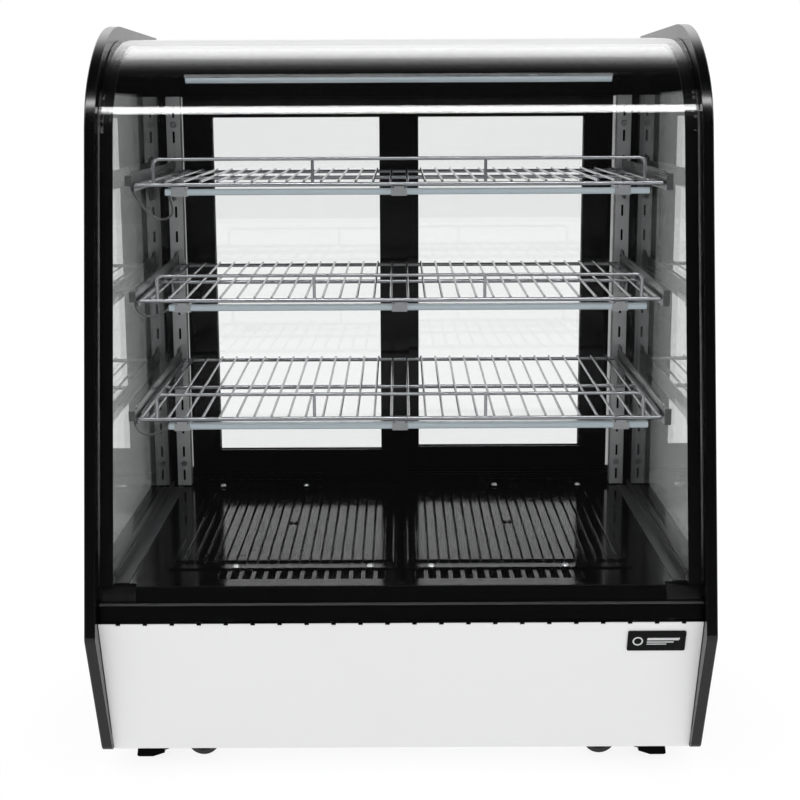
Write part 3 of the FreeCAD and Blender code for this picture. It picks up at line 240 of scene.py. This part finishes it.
# ---------------------------------------------------------------------------
# Materials, one for each slot of the record
# ---------------------------------------------------------------------------
MATS = {
    "black_rim": plain("black_rim", (0.0022, 0.0022, 0.0025), 0.18, spread=0.04, rough_spread=0.02, depth=0.00001, grain=700, edge=0.0012, ior=1.4),
    "clear_glass": glass("clear_glass", (0.992, 0.995, 0.994)),
    "door_glass": glass("door_glass", (0.993, 0.994, 0.994), reach=0.55),
    "side_glass": glass("side_glass", (0.935, 0.94, 0.938), reach=1.0),
    "black_border": plain("black_border", (0.0015, 0.0015, 0.0017), 0.12, depth=0.000004, edge=0.0003, ior=1.25),
    "black_rubber": plain("black_rubber", (0.008, 0.008, 0.008), 0.55, depth=0.00003, grain=1500, edge=0.0005),
    "white_panel": plain("white_panel", (0.84, 0.84, 0.845), 0.32, spread=0.008, rough_spread=0.03, depth=0.000008, grain=500, edge=0.0008, patches=6.0),
    "black_plastic": plain("black_plastic", (0.0018, 0.0018, 0.002), 0.34, depth=0.00002, grain=1400, edge=0.0008, ior=1.1),
    "black_gloss": plain("black_gloss", (0.0018, 0.0018, 0.002), 0.10, spread=0.1, rough_spread=0.03, depth=0.000003, grain=400, edge=0.0005, ior=1.2),
    "black_frame": plain("black_frame", (0.002, 0.002, 0.0022), 0.16, depth=0.000004, grain=600, edge=0.0008, ior=1.25),
    "steel": brushed("steel", (0.50, 0.505, 0.51), 0.34, along="Z", metal=0.3),
    "chrome_wire": chrome("chrome_wire", (0.36, 0.37, 0.39), 0.12),
    "aluminium": brushed("aluminium", (0.72, 0.73, 0.745), 0.28, along="X"),
    "clear_clip": plain("clear_clip", (0.30, 0.31, 0.32), 0.24, depth=0.00001, edge=0.0004),
    "lead_jacket": plain("lead_jacket", (0.09, 0.09, 0.094), 0.38, depth=0.000015, grain=1800, edge=0.0),
    "galvanised": galvanised("galvanised", (0.56, 0.575, 0.585)),
    "tub_foam": plain("tub_foam", (0.66, 0.67, 0.67), 0.42, spread=0.03, depth=0.00002, grain=800, edge=0.001),
    "screw_steel": brushed("screw_steel", (0.40, 0.405, 0.41), 0.32, along="X", fine=2.0),
    "fins": finned("fins", (0.72, 0.73, 0.745)),
    "compressor_black": plain("compressor_black", (0.014, 0.014, 0.015), 0.26, depth=0.00006, grain=160, edge=0.001),
    "fan_metal": brushed("fan_metal", (0.66, 0.665, 0.67), 0.33, along="Z"),
    "copper": brushed("copper", (0.72, 0.36, 0.22), 0.3, along="X", spread=0.16, fine=0.5),
    "black_sheet": plain("black_sheet", (0.014, 0.014, 0.015), 0.4, depth=0.00003, grain=1100, edge=0.0006),
    "grey_plastic": plain("grey_plastic", (0.26, 0.27, 0.28), 0.36, depth=0.00002, grain=1400, edge=0.0006),
    "rocker_green": plain("rocker_green", (0.02, 0.26, 0.07), 0.16, spread=0.1, depth=0.000006, edge=0.0006),
    "zinc": brushed("zinc", (0.60, 0.59, 0.56), 0.32, along="Z", spread=0.09),
    "wheel_rubber": plain("wheel_rubber", (0.018, 0.018, 0.018), 0.5, spread=0.2, depth=0.00005, grain=900, edge=0.0008, patches=60.0),
}


MATS["strip_steel"] = brushed("strip_steel", (0.035, 0.035, 0.036), 0.42, along="Y", metal=0.3)
MATS["mark_silver"] = plain("mark_silver", (0.62, 0.63, 0.64), 0.28, depth=0.000004, edge=0.0001)
MATS["mark_white"] = plain("mark_white", (0.70, 0.71, 0.71), 0.45, depth=0.000006, edge=0.0001)
MATS["lamp_red"] = plain("lamp_red", (0.20, 0.012, 0.008), 0.30, depth=0.000004, edge=0.0)
MATS["bead_grey"] = plain("bead_grey", (0.005, 0.005, 0.0055), 0.6, depth=0.00001, grain=1500, edge=0.0)
MATS["window_dark"] = plain("window_dark", (0.012, 0.010, 0.010), 0.08, depth=0.000002, edge=0.0002)


def milky(name):
    """Frosted extruded cover: soft, slightly blue, with faint lines along its length."""
    n = Net(name)
    lines = n.noise(1.0, 3.0, at=n.stretch((4.0, 700.0, 700.0)))
    slow = n.noise(12.0, 2.0)
    n.shade(
        Base_Color=n.tint(slow, (0.43, 0.50, 0.545), (0.49, 0.56, 0.60)), Roughness=n.span(lines, 0.3, 0.7, 0.26, 0.38),
        Subsurface_Weight=0.25, Subsurface_Radius=(0.004, 0.005, 0.006), Normal=n.bump(lines, 0.00001),
        Emission_Color=(0.6, 0.68, 0.73, 1.0), Emission_Strength=0.08,
    )
    return n.mat


MATS["milky_lens"] = milky("milky_lens")

MATS["bracket_steel"] = brushed("bracket_steel", (0.11, 0.112, 0.115), 0.30, along="Y", metal=0.6)
MATS["seal_black"] = plain("seal_black", (0.0008, 0.0008, 0.0009), 0.45, depth=0.000006, edge=0.0004, ior=1.2)
PANES = {"glass_seals": "seal_black", "shelf_brackets": "bracket_steel", "side_glasses": "side_glass", "door_glass_left": "door_glass", "door_glass_right": "door_glass"}
slot_of = {s["node"]: s.get("material_slot") for s in frame["record"]["subparts"]}
for node_name, obj in NODES.items():
    mat = MATS[PANES.get(node_name, slot_of[node_name])]
    obj.data.materials.clear()
    obj.data.materials.append(mat)


# ---------------------------------------------------------------------------
# Piece helpers
# ---------------------------------------------------------------------------
def piece(name, bm, mat, body="cabinet", smooth=30.0, bevel=0.0, segments=2):
    me = bpy.data.meshes.new(name)
    bmesh.ops.recalc_face_normals(bm, faces=bm.faces[:])
    bm.to_mesh(me)
    bm.free()
    obj = bpy.data.objects.new(name, me)
    SCENE.collection.objects.link(obj)
    me.materials.append(MATS[mat])
    if smooth:
        for p in me.polygons:
            p.use_smooth = True
        me.set_sharp_from_angle(angle=math.radians(smooth))
    if bevel:
        m = obj.modifiers.new("edges", "BEVEL")
        m.width = bevel
        m.segments = segments
        m.limit_method = "ANGLE"
        m.angle_limit = math.radians(35.0)
        m.harden_normals = True
    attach(obj, body)
    return obj


def sweep(bm, section, path_a, path_b):
    """A closed prism: the section's points (metres) from end a to end b; each end is a function of a section point."""
    a = [bm.verts.new(path_a(p)) for p in section]
    b = [bm.verts.new(path_b(p)) for p in section]
    n = len(section)
    for i in range(n):
        bm.faces.new((a[i], a[(i + 1) % n], b[(i + 1) % n], b[i]))
    bm.faces.new(a[::-1])
    bm.faces.new(b)


# ---------------------------------------------------------------------------
# Lamp leads: short limp leads from each left bracket to its lamp
# ---------------------------------------------------------------------------
LEAD_D = 0.0026
LEAD_TOP = [
    (-0.30915, -0.1135, 0.6800), (-0.3089, -0.1235, 0.6768), (-0.2990, -0.1310, 0.6640), (-0.2865, -0.1315, 0.6490),
    (-0.2725, -0.1290, 0.6410), (-0.2602, -0.1275, 0.6466), (-0.2612, -0.1266, 0.6592), (-0.2648, -0.1264, 0.6699),
]
LEAD_MIDDLE = [
    (-0.30915, -0.1135, 0.5468), (-0.3096, -0.1225, 0.5438), (-0.3040, -0.1295, 0.5345),
    (-0.2925, -0.1306, 0.5298), (-0.2800, -0.1294, 0.5318), (-0.2666, -0.1284, 0.5396),
]
LEAD_BOTTOM = [(x, y - 0.0320, z - 0.1339) for x, y, z in LEAD_MIDDLE]


def lead(name, points, node):
    cu = bpy.data.curves.new(name, "CURVE")
    cu.dimensions = "3D"
    sp = cu.splines.new("NURBS")
    sp.points.add(len(points) - 1)
    for p, co in zip(sp.points, points):
        p.co = (*co, 1.0)
    sp.order_u = 3
    sp.use_endpoint_u = True
    sp.resolution_u = 10
    cu.bevel_depth = LEAD_D / 2
    cu.bevel_resolution = 4
    cu.use_fill_caps = True
    obj = bpy.data.objects.new(name, cu)
    SCENE.collection.objects.link(obj)
    cu.materials.append(MATS["lead_jacket"])
    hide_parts(node)
    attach(obj, "cabinet")
    return obj


lead("lamp_cord_top", LEAD_TOP, "lamp_lead_top")
lead("lamp_cord_middle", LEAD_MIDDLE, "lamp_lead_middle")
lead("lamp_cord_bottom", LEAD_BOTTOM, "lamp_lead_bottom")


# ---------------------------------------------------------------------------
# Side strips: thin bent metal angles where the deck meets the side panes
# ---------------------------------------------------------------------------
def side_strip(name, sx):
    bm = bmesh.new()
    section = [(0.3065, 0.2421), (0.3213, 0.2421), (0.3213, 0.2520), (0.3204, 0.2520), (0.3204, 0.2431), (0.3068, 0.2431)]
    sweep(bm, section, lambda p: (sx * p[0], -0.2388, p[1]), lambda p: (sx * p[0], 0.1990, p[1]))
    return piece(name, bm, "strip_steel", bevel=0.00015)


side_strip("side_strip_left", -1)
side_strip("side_strip_right", 1)


# ---------------------------------------------------------------------------
# Front corners: folded black plates between the deck's front edge and the rail
# ---------------------------------------------------------------------------
def corner_fill(name, sx):
    bm = bmesh.new()
    section = [(-0.2556, 0.2253), (-0.2548, 0.2253), (-0.2538, 0.2262), (-0.2438, 0.2400), (-0.2404, 0.2419), (-0.2404, 0.2424),
               (-0.2442, 0.2412), (-0.2450, 0.2404), (-0.2556, 0.2262)]
    sweep(bm, section, lambda p: (sx * 0.2972, p[0], p[1]), lambda p: (sx * 0.3362, p[0], p[1]))
    return piece(name, bm, "black_plastic", bevel=0.0002)


corner_fill("corner_plate_left", -1)
corner_fill("corner_plate_right", 1)


# ---------------------------------------------------------------------------
# Deck ribs: wide flat ribs with narrow grooves and ramped ends
# ---------------------------------------------------------------------------
def deck_ribs(name, sx):
    bm = bmesh.new()
    z0, z1 = 0.24402, 0.24668
    for i in range(21):
        x = 0.014 + 0.0123 * i
        runs = [(-0.1715, -0.0125), (-0.0035, 0.1575)] if i == 10 else [(-0.1715, 0.1575)]
        for y0, y1 in runs:
            loops = []
            for y, t in ((y0, 0.0), (y0 + 0.0012, 0.45), (y0 + 0.0040, 1.0), (y1 - 0.0040, 1.0), (y1 - 0.0012, 0.45), (y1, 0.0)):
                top = z0 + 0.0001 + (z1 - z0 - 0.0001) * t
                flat = 0.0047
                loop = []
                for u, v in ((-0.00608, 0.0), (-0.0057, 0.42), (-0.0053, 0.80), (-flat, 1.0), (flat, 1.0), (0.0053, 0.80), (0.0057, 0.42), (0.00608, 0.0)):
                    loop.append(bm.verts.new((sx * (x + u), y, z0 + (top - z0) * v)))
                loops.append(loop)
            for a, b in zip(loops, loops[1:]):
                for k in range(len(a)):
                    bm.faces.new((a[k], a[(k + 1) % len(a)], b[(k + 1) % len(b)], b[k]))
            bm.faces.new(loops[0][::-1])
            bm.faces.new(loops[-1])
    return piece(name, bm, "black_gloss", smooth=25.0)


deck_ribs("deck_ribs_left", -1)
deck_ribs("deck_ribs_right", 1)


# ---------------------------------------------------------------------------
# Badge: a plain ring and three bars, raised on the plate
# ---------------------------------------------------------------------------
BADGE = Vector((0.286, -0.2629, 0.1795))
BADGE_OUT = Vector((0.0, -0.9473, -0.3204))
BADGE_UP = Vector((0.0, -0.3204, 0.9473))


def on_badge(u, v, w):
    return BADGE + Vector((1, 0, 0)) * u + BADGE_UP * v + BADGE_OUT * w


def badge_mark():
    bm = bmesh.new()
    n = 40
    rings = []
    for r, w in ((0.0042, -0.0003), (0.0042, 0.0003), (0.0045, 0.0004), (0.0056, 0.0004), (0.0059, 0.0003), (0.0059, -0.0003)):
        rings.append([bm.verts.new(on_badge(-0.0210 + r * math.cos(2 * math.pi * i / n), r * math.sin(2 * math.pi * i / n), w)) for i in range(n)])
    for a, b in zip(rings, rings[1:] + rings[:1]):
        for i in range(n):
            bm.faces.new((a[i], a[(i + 1) % n], b[(i + 1) % n], b[i]))
    for u0, u1, v0, v1 in ((-0.0110, 0.0250, 0.0014, 0.0046), (-0.0110, 0.0190, -0.0018, -0.0004), (-0.0110, 0.0110, -0.0046, -0.0034)):
        slope = (v1 - v0) * 0.3
        section = [(u0, v0), (u1, v0), (u1 + slope, v1), (u0 + slope, v1)]
        sweep(bm, section, lambda p: on_badge(p[0], p[1], -0.0003), lambda p: on_badge(p[0], p[1], 0.0004))
    return piece("badge_mark", bm, "mark_silver", bevel=0.00008)


badge_mark()


# ---------------------------------------------------------------------------
# Rear controls: a dark display window with dim segments, and arrows on the two buttons
# ---------------------------------------------------------------------------
def display_window():
    bm = bmesh.new()
    x0, x1, z0, z1, r = -0.2425, -0.1755, 0.1645, 0.1955, 0.002
    outline = []
    for cx, cz, a0 in ((x1 - r, z1 - r, 0), (x0 + r, z1 - r, 90), (x0 + r, z0 + r, 180), (x1 - r, z0 + r, 270)):
        for k in range(5):
            a = math.radians(a0 + 22.5 * k)
            outline.append((cx + r * math.cos(a), cz + r * math.sin(a)))
    sweep(bm, outline, lambda p: (p[0], 0.28225, p[1]), lambda p: (p[0], 0.28285, p[1]))
    return piece("display_window", bm, "window_dark", bevel=0.0001)


def display_digits():
    bm = bmesh.new()
    bar, reach = 0.0010, 0.0052

    def segment(cx, cz, upright):
        a, b = (bar / 2, reach / 2) if upright else (reach / 2, bar / 2)
        t = bar / 2
        if upright:
            section = [(cx - a, cz - b + t), (cx, cz - b), (cx + a, cz - b + t), (cx + a, cz + b - t), (cx, cz + b), (cx - a, cz + b - t)]
        else:
            section = [(cx - a, cz), (cx - a + t, cz - b), (cx + a - t, cz - b), (cx + a, cz), (cx + a - t, cz + b), (cx - a + t, cz + b)]
        sweep(bm, section, lambda p: (p[0], 0.28280, p[1]), lambda p: (p[0], 0.28292, p[1]))

    for cx in (-0.198, -0.2095, -0.221):
        for dx, dz, up in ((0, 0.0056, False), (0, 0, False), (0, -0.0056, False), (-0.0028, 0.0028, True), (0.0028, 0.0028, True),
                           (-0.0028, -0.0028, True), (0.0028, -0.0028, True)):
            segment(cx + dx, 0.180 + dz, up)
    return piece("display_digits", bm, "lamp_red", smooth=0.0)


def arrow(name, x, z, up, body):
    bm = bmesh.new()
    k = 1.0 if up else -1.0
    section = [(x - 0.0018, z - 0.0009 * k), (x, z + 0.0015 * k), (x + 0.0018, z - 0.0009 * k), (x + 0.0011, z - 0.0009 * k),
               (x, z + 0.0005 * k), (x - 0.0011, z - 0.0009 * k)]
    sweep(bm, section, lambda p: (p[0], 0.28395, p[1]), lambda p: (p[0], 0.28412, p[1]))
    return piece(name, bm, "mark_white", body=body, smooth=0.0)


display_window()
display_digits()
arrow("button_arrow_down", -0.200, 0.150, False, "button_down")
arrow("button_arrow_up", -0.180, 0.150, True, "button_up")


# ---------------------------------------------------------------------------
# Bead of sealant along the foot of the front glass
# ---------------------------------------------------------------------------
def glass_bead():
    bm = bmesh.new()
    n, half = 72, 0.3360
    rings = []
    for i in range(n + 1):
        x = -half + 2 * half * i / n
        lump = 0.00008 * math.sin(i * 1.7) + 0.00005 * math.sin(i * 3.1 + 1.0)
        rings.append([bm.verts.new((x, y, z + (lump if z > 0.2241 else 0.0))) for y, z in
                      ((-0.2651, 0.2238), (-0.2649, 0.2244), (-0.2641, 0.2249), (-0.2631, 0.2253), (-0.2622, 0.2259), (-0.2620, 0.2238))])
    for a, b in zip(rings, rings[1:]):
        for i in range(len(a)):
            bm.faces.new((a[i], a[(i + 1) % len(a)], b[(i + 1) % len(a)], b[i]))
    bm.faces.new(rings[0][::-1])
    bm.faces.new(rings[-1])
    return piece("glass_bead", bm, "bead_grey", smooth=60.0)


glass_bead()


# ---------------------------------------------------------------------------
# Stage: floor, world and lamps
# ---------------------------------------------------------------------------
def stage_floor():
    bm = bmesh.new()
    half, n = 9.0, 12
    grid = [[bm.verts.new((-half + 2 * half * i / n, -half + 2 * half * j / n, 0.0)) for j in range(n + 1)] for i in range(n + 1)]
    for i in range(n):
        for j in range(n):
            bm.faces.new((grid[i][j], grid[i + 1][j], grid[i + 1][j + 1], grid[i][j + 1]))
    me = bpy.data.meshes.new("floor")
    bm.to_mesh(me)
    bm.free()
    obj = bpy.data.objects.new("floor", me)
    SCENE.collection.objects.link(obj)
    n_ = Net("floor_paper")
    n_.shade(Base_Color=varied(n_, (0.20, 0.20, 0.20), 0.004, 2.0), Roughness=n_.span(n_.noise(30.0), 0.3, 0.7, 0.7, 0.85),
             Normal=n_.bump(n_.noise(400.0), 0.00002), Specular_IOR_Level=0.0,
             Emission_Color=(1.0, 1.0, 1.0, 1.0), Emission_Strength=0.87)
    me.materials.append(n_.mat)
    return obj


stage_floor()


def area(name, place, target, size, power, colour=(1, 1, 1), glossy=True):
    data = bpy.data.lights.new(name, "AREA")
    data.shape = "RECTANGLE"
    data.size, data.size_y = size
    data.energy = power
    data.color = colour
    obj = bpy.data.objects.new(name, data)
    SCENE.collection.objects.link(obj)
    direction = Vector(target) - Vector(place)
    obj.matrix_world = Matrix.Translation(place) @ direction.to_track_quat("-Z", "Y").to_matrix().to_4x4()
    obj.visible_glossy = glossy
    obj.visible_camera = False
    return obj


area("front_fill", (0.0, -3.4, 1.5), (0.0, 0.0, 0.35), (3.2, 1.8), 22.0, glossy=False)
area("rear_fill", (0.0, 3.2, 1.6), (0.0, 0.0, 0.5), (3.0, 1.8), 10.0, glossy=False)


def studio_world():
    world = bpy.data.worlds.new("studio")
    world.use_nodes = True
    nt = world.node_tree
    nt.nodes.clear()
    out = nt.nodes.new("ShaderNodeOutputWorld")
    coords = nt.nodes.new("ShaderNodeTexCoord")
    split = nt.nodes.new("ShaderNodeSeparateXYZ")
    nt.links.new(coords.outputs["Generated"], split.inputs[0])
    flip = nt.nodes.new("ShaderNodeMath"); flip.operation = "MULTIPLY"; flip.inputs[1].default_value = -1.0
    nt.links.new(split.outputs[1], flip.inputs[0])
    angle = nt.nodes.new("ShaderNodeMath"); angle.operation = "ARCTAN2"
    level = nt.nodes.new("ShaderNodeMath")
    level.operation = "ABSOLUTE"
    nt.links.new(split.outputs[2], level.inputs[0])
    nt.links.new(level.outputs[0], angle.inputs[0])
    nt.links.new(flip.outputs[0], angle.inputs[1])
    turn = nt.nodes.new("ShaderNodeMath"); turn.operation = "DIVIDE"; turn.inputs[1].default_value = math.pi
    nt.links.new(angle.outputs[0], turn.inputs[0])

    def ramp(stops, strength):
        """Brightness by elevation from the front horizon, in degrees: 90 is overhead and 180 the rear horizon."""
        r = nt.nodes.new("ShaderNodeValToRGB")
        nt.links.new(turn.outputs[0], r.inputs[0])
        r.color_ramp.interpolation = "LINEAR"
        while len(r.color_ramp.elements) < len(stops):
            r.color_ramp.elements.new(0.5)
        for e, (deg, v) in zip(r.color_ramp.elements, stops):
            e.position = deg / 180.0
            e.color = (v / strength, v / strength, v / strength, 1.0)
        shade = nt.nodes.new("ShaderNodeBackground")
        nt.links.new(r.outputs[0], shade.inputs[0])
        shade.inputs[1].default_value = strength
        return shade

    soft = ramp([(0, 0.11), (26, 0.15), (30, 1.1), (54, 1.1), (58, 0.07), (84, 0.07), (93, 1.0), (120, 1.1), (180, 1.1)], 1.1)
    mirrored = ramp(
        [(0, 0.03), (50.0, 0.03), (51.5, 20.0), (57.5, 20.0), (59, 0.15), (70, 0.03), (104, 0.03), (113, 0.12), (118, 0.5),
         (124, 1.4), (130, 2.4), (136, 2.7), (146, 2.3), (152, 1.9), (158, 1.35), (165, 1.15), (180, 0.9)], 20.0)
    white = nt.nodes.new("ShaderNodeBackground")
    white.inputs[0].default_value = (1, 1, 1, 1)
    white.inputs[1].default_value = 1.0
    path = nt.nodes.new("ShaderNodeLightPath")
    by_mirror = nt.nodes.new("ShaderNodeMixShader")
    nt.links.new(path.outputs["Is Glossy Ray"], by_mirror.inputs[0])
    nt.links.new(soft.outputs[0], by_mirror.inputs[1])
    nt.links.new(mirrored.outputs[0], by_mirror.inputs[2])
    mix = nt.nodes.new("ShaderNodeMixShader")
    nt.links.new(path.outputs["Is Camera Ray"], mix.inputs[0])
    nt.links.new(by_mirror.outputs[0], mix.inputs[1])
    nt.links.new(white.outputs[0], mix.inputs[2])
    nt.links.new(mix.outputs[0], out.inputs[0])
    SCENE.world = world


studio_world()
SCENE.view_settings.view_transform = "Standard"
SCENE.view_settings.look = "None"
SCENE.view_settings.exposure = 0.0
SCENE.cycles.transparent_max_bounces = 32
